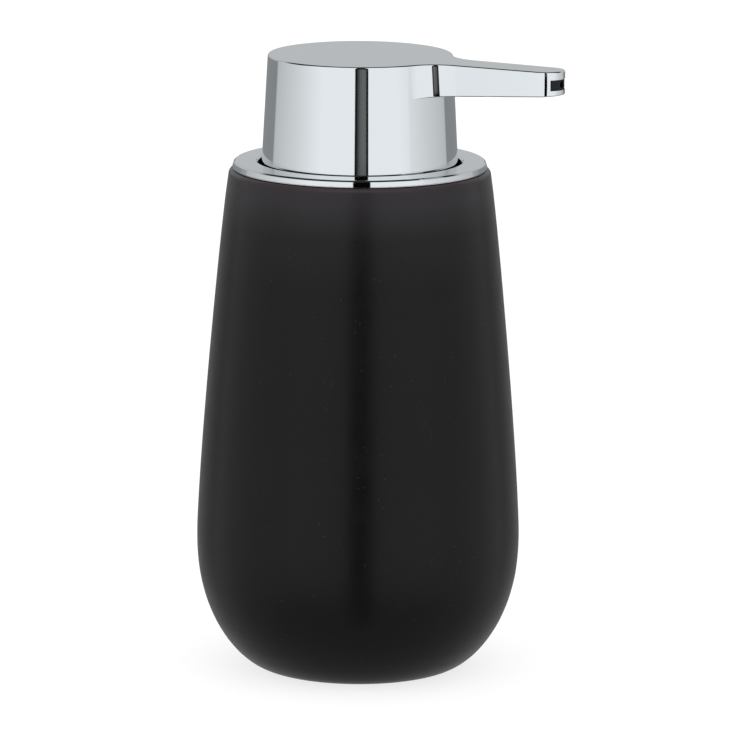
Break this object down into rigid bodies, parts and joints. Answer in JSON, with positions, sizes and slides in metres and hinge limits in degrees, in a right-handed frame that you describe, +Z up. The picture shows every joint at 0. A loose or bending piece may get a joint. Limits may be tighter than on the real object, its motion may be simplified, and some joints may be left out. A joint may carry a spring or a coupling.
{
  "type": "soap pump dispenser",
  "caption": "Round black ceramic bottle with a chrome collar and a press-down chrome pump head with a flat spout; the pump lifts out to refill.",
  "frame": {"origin": "centre of the base pad's underside, on the bottle's axis", "axes": "+Z up along the bottle's axis; +X along the spout at rest"},
  "size_m": [0.096, 0.08, 0.1534],
  "materials": {
    "black_ceramic": "satin",
    "chrome_plate": "polished",
    "black_plastic": "satin",
    "white_plastic": "satin",
    "natural_plastic": "satin",
    "grey_silicone": "matte",
    "foam_pad": "matte",
    "spring_steel": "satin",
    "clear_plastic": "gloss"
  },
  "bodies": {
    "bottle": {"bottle": "black_ceramic", "base_pad": "foam_pad"},
    "neck_seal": {"neck_seal": "grey_silicone"},
    "pump_unit": {"collar_ring": "chrome_plate", "plug_body": "black_plastic", "housing_gasket": "grey_silicone", "pump_housing": "natural_plastic", "retaining_nut": "white_plastic", "stem_guide": "white_plastic", "ball_cage": "natural_plastic", "dip_tube": "clear_plastic"},
    "inlet_ball": {"inlet_ball": "spring_steel"},
    "return_spring": {"return_spring": "spring_steel"},
    "head": {"stem": "white_plastic", "stem_tip": "white_plastic", "head_core": "white_plastic", "head_shell": "chrome_plate", "spout_base": "chrome_plate", "outlet_tube": "clear_plastic", "nozzle": "black_plastic"},
    "piston": {"piston": "natural_plastic"}
  },
  "joints": [
    {"name": "pump_lift", "type": "slide", "parent": "bottle", "child": "neck_seal", "axis": [0, 0, 1], "range_m": [0, 0.15]},
    {"name": "pump_turn", "type": "hinge", "parent": "neck_seal", "child": "pump_unit", "pos_m": [0, 0, 0.115], "axis": [0, 0, 1], "continuous": true},
    {"name": "head_swivel", "type": "hinge", "parent": "pump_unit", "child": "return_spring", "pos_m": [0, 0, 0.119], "axis": [0, 0, 1], "continuous": true},
    {"name": "head_press", "type": "slide", "parent": "return_spring", "child": "head", "axis": [0, 0, -1], "range_m": [0, 0.012], "stiffness_N_per_m": 600, "springref_m": -0.01, "deforming": ["return_spring"]},
    {"name": "piston_slip", "type": "slide", "parent": "head", "child": "piston", "axis": [0, 0, 1], "range_m": [0, 0.001]},
    {"name": "inlet_ball_lift", "type": "slide", "parent": "pump_unit", "child": "inlet_ball", "axis": [0, 0, 1], "range_m": [0, 0.002]}
  ]
}
